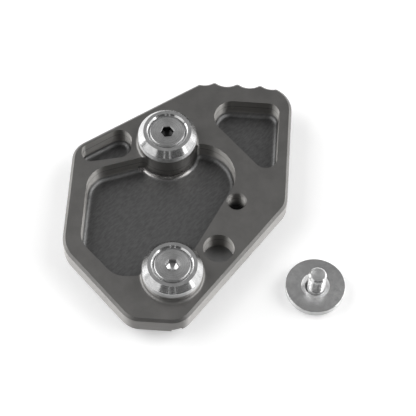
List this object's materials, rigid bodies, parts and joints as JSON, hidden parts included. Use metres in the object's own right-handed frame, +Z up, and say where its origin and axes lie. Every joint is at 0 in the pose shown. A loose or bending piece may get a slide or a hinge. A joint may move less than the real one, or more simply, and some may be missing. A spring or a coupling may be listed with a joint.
{
  "type": "kickstand foot enlarger",
  "caption": "Milled foot plate for a motorbike kickstand, with a deep foot pocket, raised bosses, round clamp washers and countersunk socket screws.",
  "frame": {"origin": "centre of the plate's flat underside, halfway between its two parallel sides and halfway between its bottom edge and the scallop crests", "axes": "+Z up from the underside to the land, +Y from the straight bottom edge to the scalloped edge, +X towards the side pocket and the loose clamp"},
  "size_m": [0.0948, 0.095, 0.0191],
  "materials": {
    "plate": "dark grey hard anodised, bead blasted, satin",
    "clamp": "turned and polished, fine turning lines",
    "screw": "plain steel, dull satin"
  },
  "bodies": {
    "root": {"base_plate": "plate", "clamp_washer_upper": "clamp", "clamp_washer_lower": "clamp", "clamp_washer_loose": "clamp", "clamp_screw_upper": "screw", "clamp_screw_lower": "screw", "clamp_screw_loose": "screw"}
  },
  "joints": []
}
